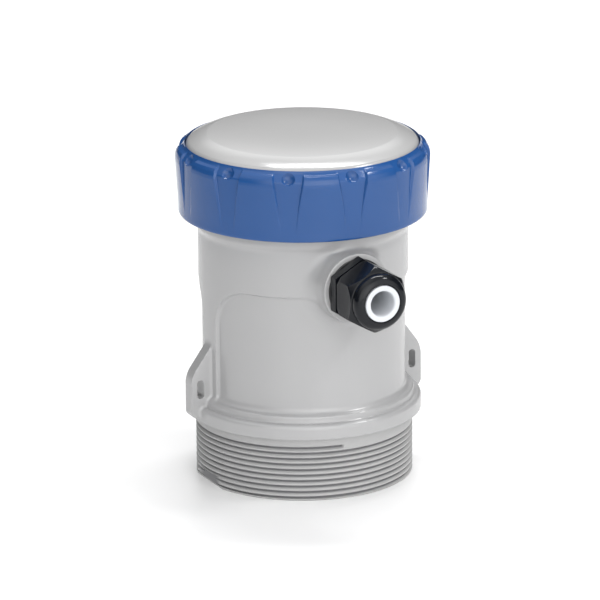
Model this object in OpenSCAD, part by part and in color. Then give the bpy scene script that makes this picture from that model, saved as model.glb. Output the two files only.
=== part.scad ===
// Radar level transmitter with a screwed pipe connection.
// Z is up along the housing axis and the origin is the centre of the antenna end face.
// The cable gland points along -Y and the two strap ears stand on the X axis.

/* [Process connection] */
// Diameter over the crests of the G3 pipe thread
thread_d = 87.88; // [84:0.01:92]
// Length of the threaded stub below the flange
thread_l = 26.7; // [22:0.1:32]
// Distance of the two spanner flats from the axis
flat_x = 42.3; // [40.5:0.1:43.2]
// Height of the spanner flats
flat_h = 4.7; // [3:0.1:7]
// Thickness of the closed antenna face
radome_t = 4; // [3:0.1:6]
// Wall of the sleeve that plugs into the housing
spigot_wall = 3.8; // [3.2:0.1:4.5]
// Height of that sleeve above the flange
spigot_h = 16; // [14:0.5:24]

/* [Housing] */
// Outside diameter of the barrel
barrel_d = 84.8; // [82:0.1:87]
// Thickness of the barrel wall
barrel_wall = 4; // [3.5:0.1:4.5]
// Height of the barrel from the flange to the collar
barrel_h = 77.7; // [74:0.1:84]
// Overhang of the flange outside the thread
flange_lip = 3.56; // [2.5:0.01:5]
// Height of the flange band
flange_h = 6; // [4.5:0.1:7]
// Height of the second, smaller step
step_h = 9; // [8.2:0.1:11]
// Overhang of the second step outside the barrel
step_lip = 2.2; // [1.6:0.1:3]
// Depth of the recessed panels beside the pillars
panel_depth = 1.5; // [0.8:0.1:1.9]
// Height of the arch tops above the flange
arch_h = 57.4; // [50:0.1:60]
// Radius of the arch corners
arch_r = 17.5; // [12:0.5:20]
// Half width of the pillars that carry the ears
pillar_half = 6; // [5:0.1:8]
// Overhang of the collar below the ring
collar_lip = 1.5; // [1:0.1:2.4]
// Height of the collar
collar_h = 4.6; // [3.5:0.1:6]
// Wall of the neck that carries the ring's thread
neck_wall = 3.6; // [3.2:0.1:4]

/* [Ears] */
// Reach of an ear beyond the grip pads of the ring
ear_past_pads = 0.2; // [-0.8:0.1:2]
// Thickness of an ear
ear_t = 6.2; // [4:0.1:8]
// Height of the upper outer corner above the flange
ear_corner_h = 19.5; // [17:0.1:24]
// Rise of the sloped top per millimetre inwards
ear_slope = 1.34; // [1.1:0.01:1.5]
// Width of the strap slot
slot_w = 3.1; // [2.5:0.1:3.3]
// Height of the slot's middle above the flange
slot_z = 13.7; // [12:0.1:15]
// Height of the strap slot
slot_h = 7.8; // [6:0.1:9]
// Distance of the slot's middle from the ear's edge
slot_inset = 4.1; // [3.2:0.1:4.2]

/* [Gland boss] */
// Height of the gland axis above the flange
gland_h = 62.1; // [61:0.1:63]
// Radius of the boss face
boss_r = 14.2; // [14:0.1:15]
// Distance of the boss face from the axis
boss_reach = 49.5; // [48.5:0.1:53]
// Widening of the boss towards its root
boss_draft = 1.4; // [0.8:0.1:2]

/* [Screw ring] */
// Height of the ring
ring_h = 28.7; // [27:0.1:32]
// Wall of the ring outside its thread
ring_wall = 3.9; // [3.5:0.1:5]
// Height of the lip that holds the lid down
ring_lip_h = 4.2; // [3.8:0.1:4.6]
// Number of grip pads
pad_count = 12; // [8:1:14]
// Stand-off of a pad at its upper edge
pad_rise = 1.2; // [0.8:0.1:1.8]
// Width of a pad at its upper edge
pad_top_w = 14.6; // [12:0.1:15.5]
// Width of a pad at its lower edge
pad_foot_w = 20; // [17:0.1:21]
// Radius of the hollow between two pads
dimple_r = 2.8; // [2.2:0.1:2.9]
// Turn of the grip pattern about the axis, in degrees
pattern_turn = -2; // [-15:0.5:15]

/* [Lid] */
// Thickness of the lid
lid_t = 3; // [2.5:0.1:3.5]
// Height of the lid above the ring
lid_rise = 4.15; // [4:0.05:5]
// Overlap of the ring's lip on the lid's edge
lid_overlap = 0.8; // [0.7:0.05:0.9]
// Thickness of the lid's edge
lid_edge_h = 2.8; // [2.6:0.1:3.4]
// Radius of the lid's rounded shoulder
lid_shoulder_r = 13.5; // [12.5:0.5:14]
// Depth of the skirt that centres the lid
lid_skirt_h = 4; // [3:0.1:6]
// Thickness of the lid's O-ring
lid_cord = 1.88; // [1.6:0.01:1.95]

/* [Cable gland] */
// Outside radius of the M20 thread
gland_thread_r = 10; // [9:0.1:10.4]
// Size across flats of both hexagons
gland_af = 24; // [22:0.1:25]
// Thickness of the sealing washer
gasket_t = 1; // [0.8:0.1:1.5]
// Length of the fixed hexagon
hex_h = 4.5; // [4:0.1:6]
// Gap between the fixed hexagon and the nut
nut_gap = 1; // [0.6:0.1:2]
// Length of the nut's hexagon
nut_hex_h = 12.4; // [11:0.1:14]
// Length of the nut's rounded nose
nose_h = 4.5; // [4:0.1:6]
// Outside radius of the sealing insert
insert_r = 7.4; // [7.1:0.1:7.7]
// Radius of the cable hole in the insert
cable_r = 5.1; // [3:0.1:6]
// Length of the insert
insert_l = 17.4; // [14:0.1:18]
// Number of slots between the clamping fingers
finger_slots = 8; // [6:1:10]

/* [Antenna and electronics] */
// Thickness of the lens edge
lens_edge_h = 5; // [4:0.1:7]
// Bulge of the lens
lens_sag = 7; // [4:0.1:9]
// Length of the horn from the lens to the feed
horn_l = 39; // [36:0.5:41]
// Wall of the horn
horn_wall = 1.5; // [1:0.1:2]
// Radius of the horn's feed
feed_r = 4.5; // [3:0.1:6]
// Radius of the two circuit boards
board_r = 29.5; // [27.5:0.1:30]
// Thickness of the circuit boards
board_t = 1.6; // [1:0.1:2]
// Height of the screening can
can_h = 5.4; // [4:0.1:7]
// Length of the spacers under the carrier
spacer_h = 6.2; // [5:0.1:8]
// Thickness of the carrier plate
carrier_t = 2.5; // [2:0.1:3]
// Height of the carrier's underside above the flange
carrier_z = 53.1; // [52:0.1:54]
// Number of wire terminals
terminals = 4; // [2:1:5]
// Distance between two terminals
terminal_pitch = 8; // [7:0.1:9]

/* [Hidden] */
$fn = 96;

// Clearances and small details
fit = 0.1;           // radial play of plugged parts
turn_play = 0.4;     // radial play of the ring on its thread
seat = 0.05;         // play of faces that are pressed together
edge = 0.6;          // small edge breaks
bite = 1;            // overlap of cutting tools past a face

// Radii of the main bodies
thread_r = thread_d / 2;
barrel_r = barrel_d / 2;
bore_r = barrel_r - barrel_wall;
flange_r = thread_r + flange_lip;
step_r = barrel_r + step_lip;
collar_r = barrel_r + collar_lip;
neck_r = barrel_r + 3.4;
neck_bore_r = neck_r - neck_wall;
ring_bore_r = neck_r + turn_play;
ring_r = ring_bore_r + ring_wall;
ear_reach = ring_r + pad_rise + ear_past_pads;
slot_x = ear_reach - slot_inset;
lid_edge_r = ring_r - 2.3;
lid_top_r = lid_edge_r - lid_overlap;
lip_r = lid_top_r + 0.3;
seal_line_r = (neck_r + neck_bore_r) / 2;
spigot_r = bore_r - fit;
cavity_r = spigot_r - spigot_wall;

// Heights of the main bodies
flange_z = thread_l;
collar_z = flange_z + barrel_h;
ring_z = collar_z + collar_h + 0.2;
ring_top = ring_z + ring_h;
lip_z = ring_top - ring_lip_h;
lid_z = lip_z - seat - lid_edge_h;
neck_top = lid_z - seat;
lid_top = ring_top + lid_rise;
gland_z = flange_z + gland_h;

// Places along the gland, counted outwards from the boss face
hex_end = gasket_t + hex_h;
nut_start = hex_end + nut_gap;
nut_shoulder = nut_start + nut_hex_h;
nut_end = nut_shoulder + nose_h;
insert_end = nut_end + 0.2;
insert_start = insert_end - insert_l;
collet_end = nut_shoulder + 1;
nut_bore_r = gland_thread_r + 0.9;
insert_bore_r = insert_r + fit;
inner_bore_r = insert_r - 1;

// Sloped band between the grip faces and the ring's lip
slope_h = 4.2;
slope_end_r = lip_r + 0.3;
slope_end_z = ring_top - 0.6;

// Seal groove of the cup and posts of the housing
cup_seal_z = flange_z + 5.5;
cup_seal_h = 2.6;
cup_seal_cord = 2.1;
post_h = 13;

// Heights of the antenna and the boards
lens_top = radome_t + lens_edge_h;
horn_rim_h = 1.8;
horn_rim_r = cavity_r - fit;
horn_mouth_r = horn_rim_r - 3.6;
clip_h = 1.4;
horn_top = lens_top + horn_l;
horn_plate_r = 13;
horn_plate_h = 2;
radar_z = horn_top + 4 + horn_plate_h;
carrier_bottom = flange_z + carrier_z;
carrier_top = carrier_bottom + carrier_t;
main_z = carrier_bottom - spacer_h - board_t;
post_r = 3.3;
pilot_r = 1.25;
post_ring_r = bore_r - post_r - 0.4;
spacer_ring_r = board_r - 4;
block_l = terminals * terminal_pitch + 4;
block_w = 11;
block_h = 12;
block_y = 14;
link_l = 16;
link_w = 4;
link_inset = 9;
capacitor_r = 4;
capacitor_x = -14;
coil_w = 11;
coil_h = 4.5;
chip_w = 12;
chip_h = 1.4;

// Screws: head radius, head height and shank radius
carrier_screw = [2.9, 2, 1.2];
board_screw = [2.2, 1.5, 1.2];
horn_screw = [1.7, 1.3, 0.8];
horn_screw_ring = horn_plate_r - 2.5;

// Points on a circular arc, for outlines that are turned
function arc(x, z, r, from, to, n = 6) =
    [for (i = [0:n]) let (a = from + (to - from) * i / n) [x + r * cos(a), z + r * sin(a)]];

// Places children around the axis
module around(count, from = 0) {
    for (i = [0:count - 1])
        rotate(from + i * 360 / count) children();
}

// Turns a part built along Z into the gland's axis, with zero at the boss face
module on_gland_axis() {
    translate([0, -boss_reach, gland_z])
        rotate([90, 0, 0]) children();
}

module hexagon(af, h) {
    rotate(30) cylinder(r = af / sqrt(3), h = h, $fn = 6);
}

// A pan-head screw with its head's seat at zero and its shank downwards
module pan_screw(size, shank_l) {
    head_r = size[0];
    head_h = size[1];
    difference() {
        union() {
            cylinder(r = head_r, h = head_h * 0.6);
            translate([0, 0, head_h * 0.6])
                cylinder(r1 = head_r, r2 = head_r * 0.75, h = head_h * 0.4);
        }
        for (a = [0, 90])
            rotate(a)
                translate([-head_r * 0.6, -head_r * 0.12, head_h * 0.5])
                    cube([head_r * 1.2, head_r * 0.24, head_h]);
    }
    translate([0, 0, -shank_l]) cylinder(r = size[2], h = shank_l);
}

// Threaded cup that closes the housing and lets the radar beam through
module process_connection() {
    color("darkgray") difference() {
        rotate_extrude() polygon([
            [0, 0], [thread_r - edge, 0], [thread_r, edge],
            [thread_r, flange_z], [spigot_r, flange_z],
            [spigot_r, flange_z + spigot_h - edge],
            [spigot_r - edge, flange_z + spigot_h],
            [0, flange_z + spigot_h]
        ]);
        translate([0, 0, radome_t])
            cylinder(r = cavity_r, h = flange_z + spigot_h);
        // Groove for the circlip over the horn's rim
        translate([0, 0, lens_top + horn_rim_h])
            cylinder(r = cavity_r + 1.2, h = clip_h + 0.1);
        // Groove for the seal against the housing
        translate([0, 0, cup_seal_z]) difference() {
            cylinder(r = spigot_r + bite, h = cup_seal_h);
            translate([0, 0, -bite])
                cylinder(r = bore_r - cup_seal_cord, h = cup_seal_h + 2 * bite);
        }
        for (side = [-1, 1])
            translate([side * (flat_x + 5), 0, flat_h / 2 - bite])
                cube([10, thread_d, flat_h + 2 * bite], center = true);
    }
}

// O-ring between the cup and the housing bore
module connection_seal() {
    color("black") translate([0, 0, cup_seal_z + cup_seal_h / 2])
        rotate_extrude() translate([bore_r - cup_seal_cord / 2, 0])
            circle(r = cup_seal_cord / 2 - 0.03, $fn = 24);
}

// The window shapes left and right of a pillar, seen along X
module panel_windows() {
    reach = 60;
    top = flange_z + arch_h;
    for (side = [0, 1]) mirror([side, 0]) {
        translate([pillar_half, flange_z - bite])
            square([reach, arch_h - arch_r + bite]);
        translate([pillar_half + arch_r, flange_z - bite])
            square([reach, top - flange_z + bite]);
        translate([pillar_half + arch_r, top - arch_r])
            circle(r = arch_r);
    }
}

// Barrel with its front and back panels set back between two pillars
module barrel_shape() {
    intersection() {
        translate([0, 0, flange_z]) cylinder(r = barrel_r, h = barrel_h + bite);
        union() {
            rotate([90, 0, 90])
                linear_extrude(height = 2 * flange_r, center = true)
                    difference() {
                        translate([-60, flange_z]) square([120, barrel_h + 2 * bite]);
                        panel_windows();
                    }
            intersection_for (side = [-1, 1])
                translate([side * panel_depth, 0, flange_z])
                    cylinder(r = barrel_r, h = barrel_h);
        }
    }
}

// Flange band, second step and the sweep up into the barrel
module flange_shape() {
    band_top = flange_z + flange_h;
    step_top = flange_z + step_h;
    rotate_extrude() polygon(concat(
        [[0, flange_z], [flange_r - 0.3, flange_z], [flange_r, flange_z + 0.3]],
        arc(flange_r - 1.5, band_top - 1.5, 1.5, 0, 75, 4),
        [[step_r + 0.6, band_top + 1]],
        arc(step_r - 1, step_top - 1, 1, 0, 80, 4),
        arc(barrel_r + 1.2, step_top + 3.2, 2.7, 260, 182, 4),
        [[barrel_r - panel_depth - 0.4, step_top + 5.5], [0, step_top + 5.5]]
    ));
}

// Collar and the threaded neck that takes the ring
module neck_shape() {
    rotate_extrude() polygon([
        [0, collar_z - 1.4], [barrel_r - 0.1, collar_z - 1.4],
        [collar_r - 0.4, collar_z], [collar_r, collar_z + 0.5],
        [collar_r, ring_z + 1], [neck_r, ring_z + 1],
        [neck_r, neck_top - edge], [neck_r - edge, neck_top], [0, neck_top]
    ]);
}

// Slotted ear on the +X side
module ear() {
    corner = flange_z + ear_corner_h;
    foot = flange_z + 1.6;
    root_x = barrel_r - 3;
    rotate([90, 0, 0]) linear_extrude(height = ear_t, center = true) difference() {
        polygon(concat(
            [[root_x, foot]],
            arc(ear_reach - 3, foot + 3, 3, -90, 0),
            arc(ear_reach - 2, corner - 1.1, 2, 0, 37, 3),
            [[root_x, corner + ear_slope * (ear_reach - root_x)]]
        ));
        translate([slot_x, flange_z + slot_z]) {
            square([slot_w, slot_h - slot_w], center = true);
            for (end = [-1, 1])
                translate([0, end * (slot_h - slot_w) / 2]) circle(d = slot_w, $fn = 24);
        }
    }
}

// Round boss for the cable gland, widening to its root
module boss_shape() {
    translate([0, 0, gland_z]) rotate([90, 0, 0]) {
        translate([0, 0, barrel_r - 12]) cylinder(r = boss_r, h = boss_reach - barrel_r + 12 - edge);
        translate([0, 0, boss_reach - edge]) cylinder(r1 = boss_r, r2 = boss_r - edge, h = edge);
        translate([0, 0, barrel_r - 12])
            cylinder(r1 = boss_r + 2.4 * boss_draft, r2 = boss_r, h = boss_reach - barrel_r + 9);
    }
}

// Moulded housing: flange, barrel, ears, gland boss, collar and threaded neck
module housing() {
    color("lightgray") difference() {
        union() {
            difference() {
                union() {
                    barrel_shape();
                    flange_shape();
                    neck_shape();
                    for (side = [0, 180]) rotate(side) ear();
                    boss_shape();
                }
                translate([0, 0, flange_z - bite])
                    cylinder(r = bore_r, h = collar_z - flange_z + bite);
                translate([0, 0, collar_z - 0.01])
                    cylinder(r1 = bore_r, r2 = neck_bore_r, h = collar_h);
                translate([0, 0, collar_z + collar_h - 0.02])
                    cylinder(r = neck_bore_r, h = ring_h + collar_h);
            }
            // Posts that carry the carrier plate
            intersection() {
                translate([0, 0, carrier_bottom - post_h])
                    cylinder(r = bore_r + 0.5, h = post_h);
                around(4, 45) translate([post_ring_r, 0, carrier_bottom - post_h]) {
                    cylinder(r = post_r, h = post_h);
                    translate([0, -post_r, 0]) cube([post_r + bite, 2 * post_r, post_h]);
                }
            }
        }
        // Thread hole of the gland
        translate([0, 0, gland_z]) rotate([90, 0, 0])
            cylinder(r = gland_thread_r + seat, h = boss_reach + bite);
        // Screw holes in the posts
        around(4, 45)
            translate([post_ring_r, 0, carrier_bottom - 9])
                cylinder(r = pilot_r, h = 10, $fn = 24);
    }
}

// Trapezoid pads that flare out towards the sloped band of the ring
module grip_pads() {
    foot = ring_z + 3.5;
    top = ring_top - slope_h - 0.4;
    face_r = ring_r + pad_rise;
    round_r = 1.2;
    intersection() {
        rotate_extrude() polygon(concat(
            [[ring_r - 1, foot], [ring_r - 0.05, foot]],
            arc(face_r - round_r, top, round_r, 0, 55, 4),
            [[slope_end_r + 0.05, slope_end_z - 0.15], [ring_r - 1, ring_top - slope_h + 0.9]]
        ));
        around(pad_count, 90 + pattern_turn + 180 / pad_count)
            rotate([90, 0, 90]) linear_extrude(height = face_r + 10) polygon([
                [-pad_foot_w / 2, foot - bite], [pad_foot_w / 2, foot - bite],
                [pad_top_w / 2, ring_top], [-pad_top_w / 2, ring_top]
            ]);
    }
}

// Union ring that screws down over the lid
module screw_ring() {
    color("royalblue") difference() {
        union() {
            rotate_extrude() polygon(concat(
                [[ring_bore_r + edge, ring_z]],
                arc(ring_r - 1, ring_z + 1, 1, -90, 0, 4),
                [
                    [ring_r, ring_top - slope_h], [slope_end_r, slope_end_z],
                    [lip_r + 0.1, ring_top], [lip_r, ring_top - 0.1],
                    [lip_r, lip_z], [lid_edge_r + 0.3, lip_z],
                    [lid_edge_r + 0.3, lid_z - 0.1], [ring_bore_r, lid_z - 1.6],
                    [ring_bore_r, ring_z + edge]
                ]
            ));
            grip_pads();
        }
        // Round hollows in the sloped band, one between each two pads
        around(pad_count, 90 + pattern_turn)
            translate([ring_r + 0.67, 0, ring_top - 2.35]) sphere(r = dimple_r, $fn = 40);
    }
}

// Domed lid with a centring skirt
module lid() {
    flat_r = lid_top_r - 10;
    crown = 0.6;
    shoulder_z = lid_top - crown - lid_shoulder_r;
    skirt_r = neck_bore_r - 0.3;
    skirt_bottom = lid_z - lid_skirt_h;
    hollow_r = skirt_r - 2.6;
    groove_half = 1.15;
    color("gainsboro") difference() {
        rotate_extrude() polygon(concat(
            [[0, skirt_bottom], [skirt_r - edge, skirt_bottom]],
            [[skirt_r, skirt_bottom + edge], [skirt_r, lid_z]],
            [[lid_edge_r, lid_z], [lid_edge_r, lid_z + lid_edge_h]],
            [[lid_top_r, lid_z + lid_edge_h], [lid_top_r, ring_top - 1.4]],
            arc(flat_r, shoulder_z, lid_shoulder_r, 45.5, 88, 8),
            [[flat_r * 0.85, lid_top - crown / 2], [flat_r / 2, lid_top - 0.05], [0, lid_top]]
        ));
        // Hollow underside
        rotate_extrude() polygon(concat(
            [[0, skirt_bottom - bite], [hollow_r, skirt_bottom - bite]],
            [[hollow_r, lid_z]],
            arc(flat_r, shoulder_z, lid_shoulder_r - lid_t, 55, 90, 5),
            [[0, lid_top - crown - lid_t]]
        ));
        // Groove for the O-ring
        translate([0, 0, lid_z - bite]) difference() {
            cylinder(r = seal_line_r + groove_half, h = lid_cord + bite);
            translate([0, 0, -bite])
                cylinder(r = seal_line_r - groove_half, h = lid_cord + 3 * bite);
        }
    }
}

// O-ring that the lid presses on the neck
module lid_seal() {
    color("black") translate([0, 0, lid_z + lid_cord / 2])
        rotate_extrude() translate([seal_line_r, 0]) circle(d = lid_cord, $fn = 24);
}

// Gland body: thread, fixed hexagon, nut thread and clamping fingers
module gland_body() {
    slot = 1.2;
    color("dimgray") on_gland_axis() difference() {
        union() {
            translate([0, 0, -boss_reach + bore_r + 0.3])
                cylinder(r = gland_thread_r, h = boss_reach - bore_r + 2);
            intersection() {
                translate([0, 0, gasket_t]) hexagon(gland_af, hex_h);
                translate([0, 0, gasket_t])
                    cylinder(r1 = gland_af / 2 + 3.4, r2 = gland_af / 2 + 0.8, h = hex_h);
            }
            translate([0, 0, hex_end - bite]) cylinder(r = gland_thread_r + 0.6, h = 8 + bite);
            translate([0, 0, hex_end + 8]) cylinder(
                r1 = insert_r + 2, r2 = insert_r + 0.9, h = collet_end - hex_end - 8
            );
        }
        translate([0, 0, -20]) cylinder(r = inner_bore_r, h = 60);
        translate([0, 0, insert_start]) cylinder(r = insert_bore_r, h = 40);
        for (i = [0:finger_slots - 1])
            rotate(i * 360 / finger_slots)
                translate([insert_r - 1, -slot / 2, hex_end + 8.5])
                    cube([10, slot, 20]);
    }
}

// Flat washer under the fixed hexagon
module gland_washer() {
    color("black") on_gland_axis() difference() {
        cylinder(r = gland_af / 2 + 0.4, h = gasket_t);
        translate([0, 0, -bite]) cylinder(r = gland_thread_r + fit, h = gasket_t + 2 * bite);
    }
}

// Soft insert that closes on the cable
module gland_insert() {
    color("white") on_gland_axis() rotate_extrude() polygon([
        [cable_r, insert_start + seat], [insert_r, insert_start + seat],
        [insert_r, insert_end - 0.3], [insert_r - 0.3, insert_end],
        [cable_r + 1.2, insert_end], [cable_r, insert_end - 1.2]
    ]);
}

// Dome nut that squeezes the fingers onto the insert
module gland_nut() {
    flat_half = gland_af / 2;
    nose_r = insert_r + 1.6;
    mouth_r = insert_r + 0.3;
    dome_r = 3.2;
    throat = nut_shoulder - 2;
    color("dimgray") on_gland_axis() difference() {
        union() {
            // Hexagon with its corners turned down at both ends
            intersection() {
                translate([0, 0, nut_start]) hexagon(gland_af, nut_hex_h);
                rotate_extrude() polygon([
                    [0, nut_start], [flat_half + 0.9, nut_start],
                    [flat_half + 2.4, nut_start + 2.6],
                    [flat_half + 2.4, nut_shoulder - 2], [flat_half + 0.9, nut_shoulder],
                    [0, nut_shoulder]
                ]);
            }
            rotate_extrude() polygon(concat(
                [[0, nut_shoulder - 1], [flat_half - 0.05, nut_shoulder - 1]],
                arc(flat_half - dome_r + 0.15, nut_end - dome_r, dome_r, 15, 80, 5),
                [[nose_r, nut_end], [0, nut_end]]
            ));
        }
        translate([0, 0, nut_start - bite])
            cylinder(r = nut_bore_r, h = throat - nut_start + bite);
        translate([0, 0, throat - 0.01])
            cylinder(r1 = nut_bore_r, r2 = mouth_r, h = nose_h + 1);
        translate([0, 0, nut_shoulder]) cylinder(r = mouth_r, h = nose_h + bite);
    }
}

// Dielectric lens lying on the closed face
module antenna_lens() {
    base_r = horn_mouth_r;
    ball_r = (base_r * base_r + lens_sag * lens_sag) / (2 * lens_sag);
    color("whitesmoke") {
        translate([0, 0, radome_t]) cylinder(r = cavity_r - fit, h = lens_edge_h);
        intersection() {
            translate([0, 0, lens_top - 0.5]) cylinder(r = base_r, h = lens_sag + bite);
            translate([0, 0, lens_top + lens_sag - ball_r]) sphere(r = ball_r, $fn = 128);
        }
    }
}

// Horn that feeds the lens, with a plate for the radar board
module antenna_horn() {
    color("silver") difference() {
        rotate_extrude() polygon([
            [horn_mouth_r, lens_top], [horn_rim_r, lens_top],
            [horn_rim_r, lens_top + horn_rim_h],
            [horn_mouth_r + horn_wall * 0.6, lens_top + horn_rim_h],
            [feed_r + horn_wall, horn_top], [feed_r + horn_wall, horn_top + 4],
            [horn_plate_r, horn_top + 4], [horn_plate_r, radar_z],
            [feed_r, radar_z], [feed_r, horn_top]
        ]);
        around(4)
            translate([horn_screw_ring, 0, horn_top + 4 - bite])
                cylinder(r = 0.85, h = horn_plate_h + 2 * bite, $fn = 24);
    }
}

// Split ring that keeps the horn's rim down
module horn_circlip() {
    color("slategray") translate([0, 0, lens_top + horn_rim_h]) rotate(100)
        rotate_extrude(angle = 340)
            translate([cavity_r - 1.9, 0]) square([1.9 + 1.1, clip_h]);
}

// Board with the radar chip, screwed to the horn
module radar_board() {
    color("seagreen") difference() {
        translate([0, 0, radar_z]) cylinder(r = board_r, h = board_t);
        around(4)
            translate([horn_screw_ring, 0, radar_z - bite])
                cylinder(r = 1.1, h = board_t + 2 * bite, $fn = 24);
    }
}

module radar_board_screws() {
    color("silver") around(4)
        translate([horn_screw_ring, 0, radar_z + board_t])
            pan_screw(horn_screw, board_t + horn_plate_h - 0.2, $fn = 24);
}

// Folded metal can over the radar chip
module screening_can() {
    side = (horn_screw_ring - horn_screw[0] - 0.5) * sqrt(2);
    wall = 0.5;
    color("silver") translate([0, 0, radar_z + board_t]) difference() {
        rotate(45) translate([-side / 2, -side / 2, 0]) cube([side, side, can_h]);
        rotate(45) translate([-side / 2 + wall, -side / 2 + wall, -wall])
            cube([side - 2 * wall, side - 2 * wall, can_h]);
    }
}

// Pin header that joins the two boards
module board_link() {
    gap = main_z - radar_z - board_t;
    color("black") translate([-link_l / 2, board_r - link_inset, radar_z + board_t])
        cube([link_l, link_w, gap]);
}

// Main board hanging under the carrier plate
module main_board() {
    color("seagreen") difference() {
        translate([0, 0, main_z]) cylinder(r = board_r, h = board_t);
        around(4, 45)
            translate([spacer_ring_r, 0, main_z - bite])
                cylinder(r = 1.4, h = board_t + 2 * bite, $fn = 24);
    }
}

module main_board_screws() {
    color("silver") around(4, 45)
        translate([spacer_ring_r, 0, main_z]) mirror([0, 0, 1])
            pan_screw(board_screw, board_t + 2.5, $fn = 24);
}

// Threaded spacers between the main board and the carrier
module board_spacers() {
    color("gold") around(4, 45) translate([spacer_ring_r, 0, main_z + board_t]) difference() {
        union() {
            hexagon(5, spacer_h);
            cylinder(r = 1.5, h = spacer_h + 1.5, $fn = 24);
        }
        translate([0, 0, -bite]) cylinder(r = 1.25, h = 4 + bite, $fn = 24);
    }
}

// Larger parts on the main board: capacitors, inductor and processor
module board_parts() {
    color("dimgray") translate([0, 0, main_z + board_t]) {
        for (row = [0, 1])
            translate([capacitor_x, capacitor_r + 2 - row * (2 * capacitor_r + 2), 0])
                cylinder(r = capacitor_r, h = spacer_h - 1, $fn = 32);
        translate([-capacitor_r, -coil_w - 1, 0]) cube([coil_w, coil_w, coil_h]);
        translate([board_t, capacitor_r + 1, 0]) cube([chip_w, chip_w, chip_h]);
    }
}

// Plate that covers the electronics and carries the terminals
module carrier_plate() {
    plate_r = bore_r - 0.3;
    color("dimgray") difference() {
        union() {
            translate([0, 0, carrier_bottom]) cylinder(r = plate_r, h = carrier_t);
            // Raised frame that locates the terminal block
            translate([-block_l / 2 - 1.6, block_y - block_w / 2 - 1.6, carrier_top - 0.5])
                cube([block_l + 3.2, block_w + 3.2, 2.5]);
        }
        translate([-block_l / 2 - fit, block_y - block_w / 2 - fit, carrier_top])
            cube([block_l + 2 * fit, block_w + 2 * fit, 5]);
        around(4, 45) translate([post_ring_r, 0, carrier_bottom - bite])
            cylinder(r = 1.7, h = 8, $fn = 24);
        around(4, 45) translate([spacer_ring_r, 0, carrier_bottom - bite])
            cylinder(r = 1.5 + seat, h = 1.6 + bite, $fn = 24);
        // Room for the gland's thread
        translate([0, -plate_r - 4, gland_z]) rotate([90, 0, 0])
            cylinder(r = gland_thread_r + 1, h = 12, center = true);
    }
}

module carrier_screws() {
    color("silver") around(4, 45)
        translate([post_ring_r, 0, carrier_top])
            pan_screw(carrier_screw, carrier_t + 7, $fn = 24);
}

// Terminal block with wire entries on its front and screw wells on top
module terminal_block() {
    color("darkslategray") translate([0, block_y, carrier_top]) difference() {
        translate([-block_l / 2, -block_w / 2, 0]) union() {
            cube([block_l, block_w, block_h * 0.55]);
            translate([0, 2.5, 0]) cube([block_l, block_w - 2.5, block_h]);
        }
        for (i = [0:terminals - 1])
            translate([(i - (terminals - 1) / 2) * terminal_pitch, 0, 0]) {
                translate([-1.8, -block_w / 2 - bite, 1.6]) cube([3.6, 8, 3.6]);
                translate([0, 1.25, block_h - 6]) cylinder(r = 2.3, h = 6 + bite, $fn = 24);
            }
    }
}

module terminal_screws() {
    color("silver") translate([0, block_y + 1.25, carrier_top + block_h - 6])
        for (i = [0:terminals - 1])
            translate([(i - (terminals - 1) / 2) * terminal_pitch, 0, 0]) difference() {
                cylinder(r = 2.2, h = 4.4, $fn = 24);
                translate([-3, -0.35, 3.4]) cube([6, 0.7, 2]);
            }
}

process_connection();
connection_seal();
housing();
screw_ring();
lid();
lid_seal();
gland_body();
gland_washer();
gland_insert();
gland_nut();
antenna_lens();
antenna_horn();
horn_circlip();
radar_board();
radar_board_screws();
screening_can();
board_link();
main_board();
main_board_screws();
board_spacers();
board_parts();
carrier_plate();
carrier_screws();
terminal_block();
terminal_screws();
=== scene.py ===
import math
import bpy
import numpy as np
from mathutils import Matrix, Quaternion, Vector


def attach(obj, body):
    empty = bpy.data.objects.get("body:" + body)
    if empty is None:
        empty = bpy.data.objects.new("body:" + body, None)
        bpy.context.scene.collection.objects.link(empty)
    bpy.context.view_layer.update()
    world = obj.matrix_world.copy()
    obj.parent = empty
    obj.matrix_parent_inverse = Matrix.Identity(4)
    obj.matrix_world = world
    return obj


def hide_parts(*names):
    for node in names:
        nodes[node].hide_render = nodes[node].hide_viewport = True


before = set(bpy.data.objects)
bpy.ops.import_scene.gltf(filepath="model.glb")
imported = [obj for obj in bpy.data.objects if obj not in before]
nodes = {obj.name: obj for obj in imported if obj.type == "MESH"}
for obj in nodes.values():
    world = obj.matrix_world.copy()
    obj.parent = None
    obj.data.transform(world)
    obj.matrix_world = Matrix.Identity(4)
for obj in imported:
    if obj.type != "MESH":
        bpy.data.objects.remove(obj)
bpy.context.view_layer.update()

scene = bpy.context.scene

# ---------------------------------------------------------------- camera
# A long lens well back from the object, looking slightly down at the corner between the cable gland and
# the left ear.
camera_data = bpy.data.cameras.new("camera")
camera_data.sensor_width = 36
camera_data.lens = 348.96
camera_data.clip_end = 20
camera = bpy.data.objects.new("camera", camera_data)
scene.collection.objects.link(camera)
turn, tilt, roll = math.radians(25.33), math.radians(16.765), math.radians(-0.384)
look = Vector((math.sin(turn) * math.cos(tilt), math.cos(turn) * math.cos(tilt), -math.sin(tilt)))
camera.location = (-0.96420, -2.03377, 0.74890)
camera.rotation_mode = "QUATERNION"
camera.rotation_quaternion = look.to_track_quat("-Z", "Y") @ Quaternion((0, 0, 1), roll)
scene.camera = camera

# ---------------------------------------------------------------- housing
# Injection-moulded housing of glass-filled PBT: flange, barrel with two shallow arched panels, two strap
# ears, gland boss, collar and the threaded neck that takes the ring. One piece, left as it leaves the mould,
# with a fine satin grain and soft fillets wherever two forms meet.
gland_z, boss_face = 88.8, 49.5      # height of the gland's axis, and where the boss ends along it


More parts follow.
